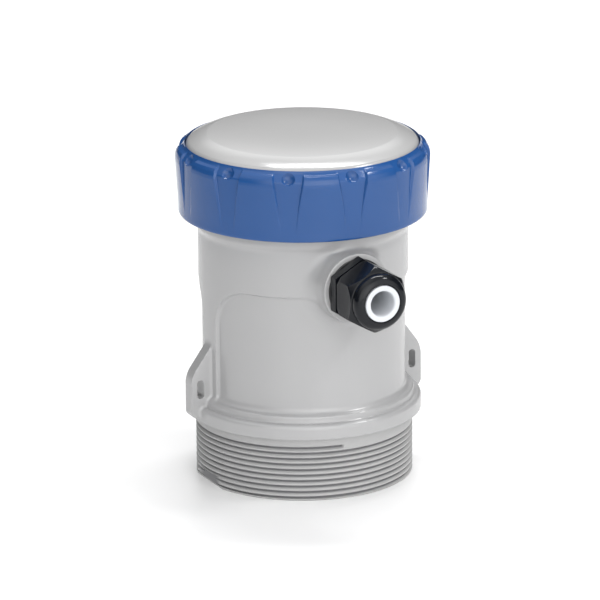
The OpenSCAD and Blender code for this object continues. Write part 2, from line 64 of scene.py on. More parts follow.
def fillet_join(a, b, radius):
    """Two distance fields joined, with a fillet of the radius where they meet (all in millimetres)."""
    reach = np.hypot(np.maximum(radius - a, 0), np.maximum(radius - b, 0))
    return np.maximum(radius, np.minimum(a, b)) - reach


def rounded_trim(a, b, radius):
    """What lies inside both fields, with its outer edge rounded to the radius."""
    reach = np.hypot(np.maximum(radius + a, 0), np.maximum(radius + b, 0))
    return np.minimum(-radius, np.maximum(a, b)) + reach


def housing_field(x, y, z):
    """Distance to the housing's outer skin in millimetres, negative inside."""
    r = np.hypot(x, y)
    side = np.abs(x)
    # barrel, cut back behind the two arched windows and left whole on the pillars
    barrel_r, cut_back = 42.4, 1.5
    arch_y, arch_z, arch_r = 23.5, 66.6, 17.5
    in_y, in_z = arch_y - np.abs(y), z - arch_z
    window = np.minimum(np.maximum(in_y, in_z), 0) - arch_r
    window += np.hypot(np.maximum(in_y, 0), np.maximum(in_z, 0))
    panel_floor = np.hypot(side + cut_back, y) - barrel_r
    body = rounded_trim(r - barrel_r, fillet_join(-window, panel_floor, 1.0), 0.6)
    # flange band and the smaller step above it
    flange_r, flange_top, step_r, step_top = 47.5, 32.7, 44.6, 35.7
    body = fillet_join(body, rounded_trim(r - step_r, z - step_top, 1.2), 2.6)
    body = fillet_join(body, rounded_trim(r - flange_r, z - flange_top, 1.6), 0.9)
    # collar below the ring, on a cone whose slope is given by its unit normal
    collar_r, cone_r, cone_z, cone_out, cone_up = 43.9, 42.3, 103.0, 0.759, 0.651
    cone = (r - cone_r) * cone_out - (z - cone_z) * cone_up
    body = fillet_join(body, rounded_trim(r - collar_r, cone, 0.7), 1.0)
    # gland boss, widening to its root
    boss_mouth_r, boss_flare, flare_from, flare_run, boss_root = 14.2, 3.36, 30.4, 16.1, 20
    off_axis, along = np.hypot(x, z - gland_z), -y
    boss_r = boss_mouth_r + boss_flare * np.clip(1 - (along - flare_from) / flare_run, 0, 1)
    boss = np.maximum(rounded_trim(off_axis - boss_r, along - boss_face, 0.5), boss_root - along)
    body = fillet_join(body, boss, 3.4)
    # strap ears: flat foot with a rounded corner, sloped top edge, flat faces; then their slots
    ear_foot, ear_tip, ear_root, ear_half = 28.3, 51.5, 30, 3.1
    top_side, top_z, top_slope, top_length = 51.1, 46.3, 1.378, 1.703
    slot_side, slot_z, slot_half, slot_r, slot_root = 47.4, 40.4, 2.35, 1.55, 40
    ear = rounded_trim(ear_foot - z, side - ear_tip, 3.0)
    ear = rounded_trim(ear, ((side - top_side) * top_slope + (z - top_z)) / top_length, 2.0)
    ear = rounded_trim(np.maximum(ear, ear_root - side), np.abs(y) - ear_half, 0.6)
    slot = np.hypot(side - slot_side, np.maximum(np.abs(z - slot_z) - slot_half, 0)) - slot_r
    body = fillet_join(body, ear, 1.1)
    body = rounded_trim(body, -np.maximum(slot, slot_root - side), 0.2)
    # neck with its trapezoid thread, which fades in above the foot
    neck_r, neck_foot, neck_top = 45.8, 110.2, 130.8
    lead, groove_depth, crest_share, flank_share = 4.0, 1.0, 0.45, 0.3
    thread_from, fade_in = 112.0, 1.5
    turns = np.arctan2(y, x) / (2 * math.pi)
    from_crest = np.abs(np.mod(z / lead - turns, 1) - 0.5) * 2
    thread_zone = np.clip((z - thread_from) / fade_in, 0, 1)
    groove = groove_depth * np.clip((from_crest - crest_share) / flank_share, 0, 1) * thread_zone
    neck = np.maximum(r - neck_r + groove, neck_foot - z)
    body = np.minimum(body, neck)
    # clearance hole for the gland and the two end faces
    gland_hole_r, underside = 10.05, 26.7
    body = np.maximum(body, -np.maximum(off_axis - gland_hole_r, y))
    body = rounded_trim(body, z - neck_top, 0.5)
    return rounded_trim(body, underside - z, 0.3)


def new_piece(name, verts, faces):
    """Mesh object from corners in metres and faces."""
    mesh = bpy.data.meshes.new(name)
    mesh.from_pydata(verts, [], faces)
    piece = bpy.data.objects.new(name, mesh)
    scene.collection.objects.link(piece)
    return piece


def skin_from_field(name, field, low, high, cell):
    """Closed quad skin on the zero level of a field, with its sharp edges kept: one corner in each crossed
    cell, placed by least squares on the tangent planes at the cell's crossings."""
    halvings, probe, steadiness, most_move = 9, 0.02, 0.04, 0.75
    counts = [int(round((b - a) / cell)) + 1 for a, b in zip(low, high)]
    axes = [low[i] + cell * np.arange(counts[i]) for i in range(3)]
    values = np.empty(counts, dtype=np.float32)
    for k in range(counts[2]):
        gx, gy = np.meshgrid(axes[0], axes[1], indexing="ij")
        values[:, :, k] = field(gx, gy, np.full_like(gx, axes[2][k]))
    inside = values < 0
    cell_shape = np.array(counts) - 1
    strides = np.array([cell_shape[1] * cell_shape[2], cell_shape[2], 1])
    points, normals, owners, faces = [], [], [], []
    for axis in range(3):
        u, v = (axis + 1) % 3, (axis + 2) % 3
        here = [slice(None)] * 3
        there = [slice(None)] * 3
        here[axis], there[axis] = slice(0, -1), slice(1, None)
        for other in (u, v):
            here[other] = there[other] = slice(1, -1)
        a, b = inside[tuple(here)], inside[tuple(there)]
        index = np.argwhere(a != b)
        index[:, u] += 1
        index[:, v] += 1
        start = np.array(low) + cell * index
        step = np.zeros(3)
        step[axis] = cell
        # the crossing is found by halving each crossed edge
        lo, hi = np.zeros(len(index)), np.ones(len(index))
        starts_in = inside[index[:, 0], index[:, 1], index[:, 2]]
        for _ in range(halvings):
            mid = (lo + hi) / 2
            at = start + mid[:, None] * step
            same = (field(at[:, 0], at[:, 1], at[:, 2]) < 0) == starts_in
            lo, hi = np.where(same, mid, lo), np.where(same, hi, mid)
        at = start + ((lo + hi) / 2)[:, None] * step
        slope = np.empty_like(at)
        for d in range(3):
            near, far = at.copy(), at.copy()
            near[:, d] -= probe
            far[:, d] += probe
            slope[:, d] = field(far[:, 0], far[:, 1], far[:, 2]) - field(near[:, 0], near[:, 1], near[:, 2])
        slope /= np.linalg.norm(slope, axis=1)[:, None] + 1e-9
        ring = []
        for du, dv in ((0, 0), (1, 0), (1, 1), (0, 1)):
            corner = index.copy()
            corner[:, u] -= du
            corner[:, v] -= dv
            ring.append(corner @ strides)
            points.append(at)
            normals.append(slope)
            owners.append(ring[-1])
        quad = np.stack(ring, axis=1)
        faces.append(np.where(starts_in[:, None], quad, quad[:, ::-1]))
    points, normals = np.concatenate(points), np.concatenate(normals)
    owners, faces = np.concatenate(owners), np.concatenate(faces)
    cells, slot = np.unique(owners, return_inverse=True)
    count = np.bincount(slot).astype(float)
    centre = np.stack([np.bincount(slot, points[:, d]) for d in range(3)], 1) / count[:, None]
    local = points - centre[slot]
    offset = (normals * local).sum(1)
    system = np.empty((len(cells), 3, 3))
    target = np.empty((len(cells), 3))
    for i in range(3):
        target[:, i] = np.bincount(slot, normals[:, i] * offset)
        for j in range(3):
            system[:, i, j] = np.bincount(slot, normals[:, i] * normals[:, j])
    system += np.eye(3) * steadiness
    move = np.linalg.solve(system, target[:, :, None])[:, :, 0]
    place = centre + np.clip(move, -most_move * cell, most_move * cell)
    piece = new_piece(name, (place * 0.001).tolist(), np.searchsorted(cells, faces).tolist())
    piece.data.validate()
    return piece


def turned(name, outline, steps):
    """Solid of revolution about Z from a closed outline of (radius, height) in millimetres."""
    verts, faces, rows = [], [], []
    for r, z in outline:
        if r < 1e-6:
            rows.append([len(verts)] * steps)
            verts.append((0, 0, z * 0.001))
        else:
            rows.append(list(range(len(verts), len(verts) + steps)))
            for i in range(steps):
                a = 2 * math.pi * i / steps
                verts.append((r * math.cos(a) * 0.001, r * math.sin(a) * 0.001, z * 0.001))
    for k in range(len(rows)):
        a, b = rows[k], rows[(k + 1) % len(rows)]
        for i in range(steps):
            j = (i + 1) % steps
            loop = list(dict.fromkeys((a[i], a[j], b[j], b[i])))
            if len(loop) > 2:
                faces.append(loop)
    piece = new_piece(name, verts, faces)
    piece.data.validate()
    return piece


def arc(r, z, radius, start, end, n=6):
    """Points on an arc about (r, z), angles in degrees."""
    angles = [math.radians(start + (end - start) * i / n) for i in range(n + 1)]
    return [(r + radius * math.cos(a), z + radius * math.sin(a)) for a in angles]


def combine(piece, tool, how):
    """Boolean of two closed pieces; the tool is used up."""
    mod = piece.modifiers.new("cut", "BOOLEAN")
    mod.operation = how
    mod.solver = "MANIFOLD"
    mod.object = tool
    flatten(piece)
    bpy.data.objects.remove(tool)


def flatten(piece):
    """Turns a piece with modifiers into a plain mesh and drops the modifiers."""
    depsgraph = bpy.context.evaluated_depsgraph_get()
    depsgraph.update()
    mesh = bpy.data.meshes.new_from_object(piece.evaluated_get(depsgraph))
    piece.modifiers.clear()
    piece.data = mesh
    return piece


def soften(piece, angle):
    """Smooth shading, with edges sharper than the angle kept crisp."""
    piece.data.shade_smooth()
    piece.data.set_sharp_from_angle(angle=math.radians(angle))


housing_low, housing_high, cell = (-53.0, -51.0, 25.5), (53.0, 49.0, 132.0), 0.77
housing_shell = skin_from_field("housing_shell", housing_field, housing_low, housing_high, cell)
# the cavity: bore, cone up to the wider neck, and four posts for the carrier left standing, each with a
# screw hole and a rib to the wall
bore_r, neck_bore_r, post_foot, post_top = 38.4, 42.2, 66.8, 79.8
post_r, screw_r, screw_foot, rib_r = 3.3, 1.25, 70.8, 2.9
cavity = turned("cavity", [(0, 20), (bore_r, 20), (bore_r, 104.4), (neck_bore_r, 109.0), (neck_bore_r, 135),
                           (0, 135)], 180)
post_outline = [(0, post_foot), (post_r, post_foot), (post_r, post_top), (screw_r, post_top),
                (screw_r, screw_foot), (0, screw_foot)]
rib_outline = [(0, post_foot), (rib_r, post_foot), (rib_r, post_top), (0, post_top)]
post_place, rib_place = 0.0347, 0.0385
for number in range(4):
    swing = math.radians(45 + 90 * number)
    post, rib = turned("post", post_outline, 40), turned("rib", rib_outline, 4)
    for tool, out in ((post, post_place), (rib, rib_place)):
        for vert in tool.data.vertices:
            x, y = vert.co.x + out, vert.co.y
            vert.co.x = x * math.cos(swing) - y * math.sin(swing)
            vert.co.y = x * math.sin(swing) + y * math.cos(swing)
        combine(cavity, tool, "DIFFERENCE")
combine(housing_shell, cavity, "DIFFERENCE")
soften(housing_shell, 33)


def mask_group(name, inputs, outputs):
    """Shader group whose sockets are all plain numbers."""
    tree = bpy.data.node_groups.new(name, "ShaderNodeTree")
    for label, value in inputs:
        tree.interface.new_socket(label, in_out="INPUT", socket_type="NodeSocketFloat").default_value = value
    for label in outputs:
        tree.interface.new_socket(label, in_out="OUTPUT", socket_type="NodeSocketFloat")
    return tree


def wire(tree, *pairs):
    """Links given as (node, output) to (node, input)."""
    for (source, out), (target, into) in pairs:
        tree.links.new(source.outputs[out], target.inputs[into])


# Satin mould grain: a fine height for the bump, slow clouds in the pigment, and a thin film of dust that
# gathers on faces that look up.
moulded_skin = mask_group("moulded_skin", [("Grain", 1800.0), ("Clouds", 22.0), ("Dust", 0.3)],
                          ["Height", "Clouds", "Dust"])
group_in = moulded_skin.nodes.new("NodeGroupInput")
group_out = moulded_skin.nodes.new("NodeGroupOutput")
place = moulded_skin.nodes.new("ShaderNodeTexCoord")
grain = moulded_skin.nodes.new("ShaderNodeTexNoise")
grain.inputs["Detail"].default_value = 2.0
clouds = moulded_skin.nodes.new("ShaderNodeTexNoise")
clouds.inputs["Detail"].default_value = 3.0
spread = moulded_skin.nodes.new("ShaderNodeMapRange")
spread.inputs["From Min"].default_value = 0.2
spread.inputs["From Max"].default_value = 0.8
upward = moulded_skin.nodes.new("ShaderNodeSeparateXYZ")
settled = moulded_skin.nodes.new("ShaderNodeMapRange")
settled.inputs["From Min"].default_value = 0.3
patchy = moulded_skin.nodes.new("ShaderNodeMath")
patchy.operation = "MULTIPLY"
amount = moulded_skin.nodes.new("ShaderNodeMath")
amount.operation = "MULTIPLY"
wire(moulded_skin,
     ((place, "Object"), (grain, "Vector")), ((group_in, "Grain"), (grain, "Scale")),
     ((place, "Object"), (clouds, "Vector")), ((group_in, "Clouds"), (clouds, "Scale")),
     ((clouds, "Fac"), (spread, "Value")), ((place, "Normal"), (upward, "Vector")),
     ((upward, "Z"), (settled, "Value")), ((settled, "Result"), (patchy, 0)),
     ((spread, "Result"), (patchy, 1)), ((patchy, "Value"), (amount, 0)), ((group_in, "Dust"), (amount, 1)),
     ((grain, "Fac"), (group_out, "Height")), ((spread, "Result"), (group_out, "Clouds")),
     ((amount, "Value"), (group_out, "Dust")))


def moulded(name, dark, light, rough, grain=1800.0, depth=0.00003, clouds=22.0, dust=0.3, specular=0.5):
    """Moulded or rubber-like material: two close pigments, satin grain and a little dust."""
    material = bpy.data.materials.new(name)
    material.use_nodes = True
    tree = material.node_tree
    shader = tree.nodes["Principled BSDF"]
    skin = tree.nodes.new("ShaderNodeGroup")
    skin.node_tree = moulded_skin
    skin.inputs["Grain"].default_value = grain
    skin.inputs["Clouds"].default_value = clouds
    skin.inputs["Dust"].default_value = dust
    pigment = tree.nodes.new("ShaderNodeMix")
    pigment.data_type = "RGBA"
    pigment.inputs["A"].default_value = (*dark, 1)
    pigment.inputs["B"].default_value = (*light, 1)
    dusty = tree.nodes.new("ShaderNodeMix")
    dusty.data_type = "RGBA"
    dusty.inputs["B"].default_value = (0.62, 0.61, 0.59, 1)
    sheen = tree.nodes.new("ShaderNodeMapRange")
    sheen.inputs["To Min"].default_value = rough[0]
    sheen.inputs["To Max"].default_value = rough[1]
    relief = tree.nodes.new("ShaderNodeBump")
    relief.inputs["Distance"].default_value = depth
    shader.inputs["Specular IOR Level"].default_value = specular
    wire(tree,
         ((skin, "Clouds"), (pigment, "Factor")), ((pigment, "Result"), (dusty, "A")),
         ((skin, "Dust"), (dusty, "Factor")), ((dusty, "Result"), (shader, "Base Color")),
         ((skin, "Clouds"), (sheen, "Value")), ((sheen, "Result"), (shader, "Roughness")),
         ((skin, "Height"), (relief, "Height")), ((relief, "Normal"), (shader, "Normal")))
    return material


def dress(piece, material):
    """Gives a piece, or a carried-over CAD node, its one material."""
    piece.data.materials.clear()
    piece.data.materials.append(material)


housing_plastic = moulded("housing_plastic", (0.345, 0.345, 0.348), (0.345, 0.345, 0.348), (0.24, 0.25),
                          grain=1500.0, depth=0.000012, dust=0.0, specular=0.9)
dress(housing_shell, housing_plastic)
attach(housing_shell, "housing_group")
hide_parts("housing")

# ---------------------------------------------------------------- process connection
# Cup-shaped stub of matt PVDF with the G3 pipe thread, closed by a thin face that the radar beam passes. It
# plugs into the housing with an O-ring. The right-handed thread is cut at 11 turns per inch, ends abruptly
# below the flange, and two spanner flats are milled off the lower rim.
crest_r, root_step, thread_pitch = 43.94, 1.479, 2.309
row_step, flat_top = 0.13, 4.7
thread_rows = [(crest_r, z) for z in np.arange(0.75, 4.65, row_step)]
thread_rows += [(crest_r, 4.69), (crest_r, 4.71)]       # close rows on both sides of the flats' upper edge
thread_rows += [(crest_r, z) for z in np.arange(4.84, 23.6, row_step)]
stub_outline = [(0, 0), (20, 0), (38, 0)] + arc(crest_r - 0.7, 0.7, 0.7, -90, 0, 5) + thread_rows
stub_outline += [(crest_r, 26.62), (38.3, 26.62), (38.3, 32.2), (36.3, 32.2), (36.3, 34.8), (38.3, 34.8)]
stub_outline += arc(37.7, 42.1, 0.6, 0, 90, 3) + arc(35.1, 42.1, 0.6, 90, 180, 3)
stub_outline += [(34.5, 12.3), (35.7, 12.3), (35.7, 10.8), (34.5, 10.8), (34.5, 4.0), (0, 4.0)]
threaded_cup = turned("threaded_cup", stub_outline, 340)


def geometry_tree(name, inputs):
    """Geometry group with a mesh in and out and named inputs."""
    tree = bpy.data.node_groups.new(name, "GeometryNodeTree")
    tree.interface.new_socket("Geometry", in_out="INPUT", socket_type="NodeSocketGeometry")
    tree.interface.new_socket("Geometry", in_out="OUTPUT", socket_type="NodeSocketGeometry")
    for label, kind in inputs:
        tree.interface.new_socket(label, in_out="INPUT", socket_type=kind)
    return tree


def sums(tree, operation, a, b=None, c=None):
    """One Math node; each operand is a number or an output socket."""
    node = tree.nodes.new("ShaderNodeMath")
    node.operation = operation
    for place_at, operand in enumerate((a, b, c)):
        if operand is None:
            continue
        if isinstance(operand, (int, float)):
            node.inputs[place_at].default_value = operand
        else:
            tree.links.new(operand, node.inputs[place_at])
    return node.outputs[0]


def set_inputs(modifier, values):
    """Sets a modifier's inputs through their socket identifiers."""
    for item in modifier.node_group.interface.items_tree:
        if item.item_type == "SOCKET" and item.in_out == "INPUT" and item.name in values:
            modifier[item.identifier] = values[item.name]


# Geometry Nodes cut the helix: each point of the wall moves inwards by the depth of the groove there.
thread_cutter = geometry_tree("pipe_thread", [
    ("Pitch", "NodeSocketFloat"), ("Crest Radius", "NodeSocketFloat"), ("Groove Depth", "NodeSocketFloat"),
    ("Groove Half Width", "NodeSocketFloat"), ("Start Height", "NodeSocketFloat"),
    ("Start Angle", "NodeSocketFloat"), ("Runout Angle", "NodeSocketFloat"),
    ("Flat Distance", "NodeSocketFloat"), ("Flat Height", "NodeSocketFloat"),
    ("Material", "NodeSocketMaterial")])
t = thread_cutter
cut_in, cut_out = t.nodes.new("NodeGroupInput"), t.nodes.new("NodeGroupOutput")
knob = cut_in.outputs
spot = t.nodes.new("ShaderNodeSeparateXYZ")
t.links.new(t.nodes.new("GeometryNodeInputPosition").outputs[0], spot.inputs[0])
px, py, pz = spot.outputs
angle = sums(t, "ARCTAN2", py, px)
radius = sums(t, "SQRT", sums(t, "ADD", sums(t, "MULTIPLY", px, px), sums(t, "MULTIPLY", py, py)))
turned_by = sums(t, "DIVIDE", sums(t, "SUBTRACT", angle, knob["Start Angle"]), 2 * math.pi)
level = sums(t, "DIVIDE", sums(t, "SUBTRACT", pz, knob["Start Height"]), knob["Pitch"])
phase = sums(t, "SUBTRACT", level, turned_by)
groove_number = sums(t, "ROUND", phase)
off_groove = sums(t, "ABSOLUTE", sums(t, "SUBTRACT", phase, groove_number))
into = sums(t, "SUBTRACT", 1.0, sums(t, "DIVIDE", off_groove, knob["Groove Half Width"]))
into = sums(t, "MAXIMUM", into, 0.0)
flat_root, root_softness, runout_turns = 1.12, 0.25, 0.003
soft = sums(t, "SMOOTH_MIN", sums(t, "MULTIPLY", into, flat_root), 1.0, root_softness)
total_turns = sums(t, "ADD", groove_number, turned_by)
last_turn = sums(t, "DIVIDE", sums(t, "SUBTRACT", knob["Runout Angle"], knob["Start Angle"]), 2 * math.pi)
open_yet = sums(t, "DIVIDE", sums(t, "SUBTRACT", last_turn, total_turns), runout_turns)
open_yet = sums(t, "MINIMUM", sums(t, "MAXIMUM", open_yet, 0.0), 1.0)
wall_foot, wall_top = 0.00071, 0.0236
on_wall = sums(t, "COMPARE", radius, knob["Crest Radius"], 0.00001)
on_wall = sums(t, "MULTIPLY", on_wall, sums(t, "GREATER_THAN", pz, wall_foot))
on_wall = sums(t, "MULTIPLY", on_wall, sums(t, "LESS_THAN", pz, wall_top))
depth_here = sums(t, "MULTIPLY", sums(t, "MULTIPLY", soft, knob["Groove Depth"]), on_wall)
depth_here = sums(t, "MULTIPLY", depth_here, open_yet)
shrink = sums(t, "SUBTRACT", 1.0, sums(t, "DIVIDE", depth_here, sums(t, "MAXIMUM", radius, 0.001)))
new_x, new_y = sums(t, "MULTIPLY", px, shrink), sums(t, "MULTIPLY", py, shrink)
milled = sums(t, "MAXIMUM", sums(t, "MINIMUM", new_x, knob["Flat Distance"]),
              sums(t, "MULTIPLY", knob["Flat Distance"], -1.0))
below = sums(t, "LESS_THAN", pz, knob["Flat Height"])
new_x = sums(t, "ADD", new_x, sums(t, "MULTIPLY", below, sums(t, "SUBTRACT", milled, new_x)))
joined = t.nodes.new("ShaderNodeCombineXYZ")
for socket, value in zip(joined.inputs, (new_x, new_y, pz)):
    t.links.new(value, socket)
move = t.nodes.new("GeometryNodeSetPosition")
coat = t.nodes.new("GeometryNodeSetMaterial")
real = t.nodes.new("GeometryNodeRealizeInstances")
wire(t, ((cut_in, "Geometry"), (move, "Geometry")), ((joined, 0), (move, "Position")),
     ((move, "Geometry"), (real, "Geometry")), ((real, "Geometry"), (coat, "Geometry")),
     ((cut_in, "Material"), (coat, "Material")), ((coat, "Geometry"), (cut_out, "Geometry")))
connection_plastic = moulded("connection_plastic", (0.40, 0.40, 0.40), (0.40, 0.40, 0.40), (0.46, 0.54),
                             grain=2200.0, depth=0.00003, clouds=35.0, dust=0.1, specular=0.4)
# Painted shade: the thread's roots are painted darker than the crests, standing in for the shade in the
# grooves; below the rim's top the pigment stays plain.
painted_shade_from, unshaded_from, rim_top = crest_r - 1.3, crest_r - 0.5, 0.0006
tree = connection_plastic.node_tree
place, flat_place = tree.nodes.new("ShaderNodeTexCoord"), tree.nodes.new("ShaderNodeVectorMath")
flat_place.operation = "MULTIPLY"
flat_place.inputs[1].default_value = (1, 1, 0)
off_centre, height = tree.nodes.new("ShaderNodeVectorMath"), tree.nodes.new("ShaderNodeSeparateXYZ")
off_centre.operation = "LENGTH"
unshaded = tree.nodes.new("ShaderNodeMapRange")
unshaded.interpolation_type = "SMOOTHSTEP"
unshaded.inputs["From Min"].default_value = painted_shade_from / 1000
unshaded.inputs["From Max"].default_value = unshaded_from / 1000
painted_shade = tree.nodes.new("ShaderNodeMix")
painted_shade.data_type = "RGBA"
# dark colour of the painted shade in the thread roots
painted_shade.inputs["A"].default_value = (0.20, 0.20, 0.207, 1)
pigment_link = tree.nodes["Principled BSDF"].inputs["Base Color"].links[0]
tree.links.new(pigment_link.from_socket, painted_shade.inputs["B"])
wire(tree, ((place, "Object"), (flat_place, 0)), ((flat_place, 0), (off_centre, 0)),
     ((off_centre, "Value"), (unshaded, "Value")), ((place, "Object"), (height, 0)),
     ((painted_shade, "Result"), (tree.nodes["Principled BSDF"], "Base Color")))
under_rim = sums(tree, "LESS_THAN", height.outputs["Z"], rim_top)
tree.links.new(sums(tree, "MAXIMUM", unshaded.outputs["Result"], under_rim), painted_shade.inputs["Factor"])
cutter = threaded_cup.modifiers.new("thread", "NODES")
cutter.node_group = thread_cutter
set_inputs(cutter, {
    "Pitch": thread_pitch / 1000, "Crest Radius": crest_r / 1000, "Groove Depth": root_step / 1000,
    "Groove Half Width": 0.38, "Start Height": 0.0219, "Start Angle": math.radians(-115.33),
    "Runout Angle": math.radians(-94), "Flat Distance": 0.0423, "Flat Height": flat_top / 1000,
    "Material": connection_plastic})
flatten(threaded_cup)
soften(threaded_cup, 32)
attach(threaded_cup, "housing_group")
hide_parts("process_connection")

# O-ring between the cup and the housing bore, left as the CAD solid.
seal_rubber = moulded("seal_rubber", (0.012, 0.012, 0.013), (0.022, 0.022, 0.023), (0.5, 0.62), grain=900.0,
                      depth=0.00004, dust=0.1)
dress(nodes["connection_seal"], seal_rubber)

# ---------------------------------------------------------------- screw ring
# Blue union ring of PBT, turned by hand. Twelve trapezoid grip pads stand out of its wall, and between each
# two of them a round hollow is pressed into the sloped band. Geometry Nodes repeat one twelfth of it.
wall_r, ring_foot, ring_rim = 50.1, 109.2, 137.9
lip_r, lip_foot, socket_r, ring_bore_r = 47.3, 133.7, 48.1, 46.2
ball_place_r, ball_z, ball_r, hollow_stops_r = 50.75, 135.96, 3.3, 47.55
pads, pad_rows = 12, 44
half_step, pattern_turn = math.pi / pads, math.radians(-2.0)


def pad_half_angle(z):
    """Half the angle that a pad covers at a height, wider towards its foot."""
    spread = np.interp(z, [109.0, 112.0, 124.0, 134.5, 138.0], [12.3, 11.8, 10.2, 8.2, 7.9])
    return np.radians(spread)


def ring_outside(t):
    """Outer profiles of the flute and of the pad at t from 0 at the foot to 1 at the lip."""
    foot = [(49.4, ring_foot), (49.9, 109.45), (wall_r, 110.0)]
    flute = foot + [(wall_r, 112.7), (wall_r, 116.0), (wall_r, 120.0), (wall_r, 128.0), (wall_r, 133.3),
                    (50.0, 133.85), (49.7, 134.3), (49.25, 134.93), (47.85, 136.9), (47.6, 137.4),
                    (47.42, 137.85)]
    pad = foot + [(50.13, 112.7), (50.28, 116.0), (50.55, 120.0), (51.05, 128.5), (51.27, 131.8),
                  (51.12, 133.4), (50.65, 134.8), (49.85, 135.95), (48.3, 136.6), (47.75, 137.2),
                  (47.42, 137.85)]
    keys = np.array([0, 0.03, 0.06, 0.14, 0.22, 0.31, 0.52, 0.66, 0.70, 0.735, 0.78, 0.93, 0.965, 1.0])
    flute, pad = np.array(flute), np.array(pad)
    return [np.interp(t, keys, shape[:, axis]) for shape in (flute, pad) for axis in (0, 1)]


def ring_twelfth(name):
    """One twelfth of the ring's whole section, pad in the middle, open at both cut faces."""
    across = np.concatenate([np.linspace(-2, -1.1, 30), [-1.05, -1.015, -0.985, -0.95],
                             np.linspace(-0.9, 0.9, 11), [0.95, 0.985, 1.015, 1.05],
                             np.linspace(1.1, 2, 30)])
    along = np.concatenate([np.linspace(0, 0.06, 5)[:-1], np.linspace(0.06, 0.60, pad_rows)[:-1],
                            np.linspace(0.60, 1.0, 34)])
    inside = [(lip_r + 0.04, ring_rim), (lip_r, ring_rim - 0.06), (lip_r, lip_foot), (socket_r, lip_foot),
              (socket_r, 130.75), (ring_bore_r, 129.25), (ring_bore_r, 120.0), (ring_bore_r, 109.8),
              (46.8, ring_foot)]
    verts, faces = [], []
    rows = len(along) + len(inside)
    for u in across:
        flute_r, flute_z, pad_r, pad_z = ring_outside(along)
        raised = np.clip((1.04 - abs(u)) / 0.08, 0, 1)
        raised = raised * raised * (3 - 2 * raised)
        r = flute_r + (pad_r - flute_r) * raised
        z = flute_z + (pad_z - flute_z) * raised
        half = pad_half_angle(z)
        swing = np.where(abs(u) <= 1, abs(u) * half, half + (abs(u) - 1) * (half_step - half)) * np.sign(u)
        column = list(zip(r, swing, z))
        column += [(ri, u / 2 * half_step, zi) for ri, zi in inside]
        for ri, ai, zi in column:
            a = ai + half_step + pattern_turn
            point = np.array([ri * math.cos(a), ri * math.sin(a), zi])
            for side in (-1, 1):
                # round hollow between two pads: points inside the ball are pushed back onto it
                b = half_step * (1 + side) + pattern_turn
                ball = np.array([ball_place_r * math.cos(b), ball_place_r * math.sin(b), ball_z])
                gap = np.linalg.norm(point - ball)
                if gap < ball_r and ri > hollow_stops_r:
                    point = ball + (point - ball) * ball_r / gap
            verts.append(tuple(point * 0.001))
    for c in range(len(across) - 1):
        for k in range(rows):
            n = (k + 1) % rows
            faces.append(((c + 1) * rows + k, (c + 1) * rows + n, c * rows + n, c * rows + k))
    return new_piece(name, verts, faces)


around_axis = geometry_tree("around_axis", [("Count", "NodeSocketInt"), ("Weld Distance", "NodeSocketFloat"),
                                            ("Material", "NodeSocketMaterial")])
t = around_axis
copy_in, copy_out = t.nodes.new("NodeGroupInput"), t.nodes.new("NodeGroupOutput")
copies = t.nodes.new("GeometryNodeDuplicateElements")
copies.domain = "INSTANCE"
one = t.nodes.new("GeometryNodeGeometryToInstance")
spin = t.nodes.new("GeometryNodeRotateInstances")
step_angle = sums(t, "DIVIDE", 2 * math.pi, copy_in.outputs["Count"])
about_z = t.nodes.new("ShaderNodeCombineXYZ")
t.links.new(sums(t, "MULTIPLY", copies.outputs["Duplicate Index"], step_angle), about_z.inputs["Z"])
real = t.nodes.new("GeometryNodeRealizeInstances")
weld = t.nodes.new("GeometryNodeMergeByDistance")
coat = t.nodes.new("GeometryNodeSetMaterial")
wire(t, ((copy_in, "Geometry"), (one, "Geometry")), ((one, "Instances"), (copies, "Geometry")),
     ((copy_in, "Count"), (copies, "Amount")), ((copies, "Geometry"), (spin, "Instances")),
     ((about_z, 0), (spin, "Rotation")), ((spin, "Instances"), (real, "Geometry")),
     ((real, "Geometry"), (weld, "Geometry")), ((copy_in, "Weld Distance"), (weld, "Distance")),
     ((weld, "Geometry"), (coat, "Geometry")), ((copy_in, "Material"), (coat, "Material")),
     ((coat, "Geometry"), (copy_out, "Geometry")))
ring_plastic = moulded("ring_plastic", (0.0145, 0.068, 0.222), (0.0155, 0.072, 0.234), (0.12, 0.14),
                       grain=1600.0, depth=0.000012, clouds=30.0, dust=0.0, specular=0.42)
union_ring = ring_twelfth("union_ring")
repeat = union_ring.modifiers.new("repeat", "NODES")
repeat.node_group = around_axis
set_inputs(repeat, {"Count": pads, "Weld Distance": 0.000004, "Material": ring_plastic})
flatten(union_ring)
soften(union_ring, 30)
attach(union_ring, "ring")
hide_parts("screw_ring")

# ---------------------------------------------------------------- lid
# Shallow domed lid of the same grey PBT. Its edge sits on the neck under the ring's lip, a skirt centres it,
# and an O-ring in a groove under the edge seals it.
skirt_foot, seat_z, lid_top, under_top = 126.85, 130.85, 142.05, 138.45
lid_outline = [(41.3, skirt_foot)] + arc(41.4, 127.35, 0.5, -90, 0, 4)
lid_outline += [(41.9, seat_z), (42.85, seat_z), (42.85, 132.73), (45.15, 132.73), (45.15, seat_z)]
lid_outline += arc(47.5, 131.15, 0.3, -90, 0, 3) + arc(47.5, 133.35, 0.3, 0, 90, 3)
lid_outline += [(47.0, 133.65), (47.0, 135.6)] + arc(43.9, 135.95, 3.05, 5, 57, 10)
lid_outline += arc(34.22, 119.37, 22.3, 59, 79, 12) + arc(37.72, 137.33, 4.0, 80.5, 87, 5)
lid_outline += [(34.0, 141.57), (27.0, 141.82), (18.5, 142.0), (9.0, lid_top), (0, lid_top)]
lid_outline += [(0, under_top), (37.0, under_top)] + arc(37.0, 127.95, 10.5, 88, 55, 8)
lid_outline += [(39.3, seat_z), (39.3, skirt_foot)]
domed_lid = turned("domed_lid", lid_outline, 240)
soften(domed_lid, 28)
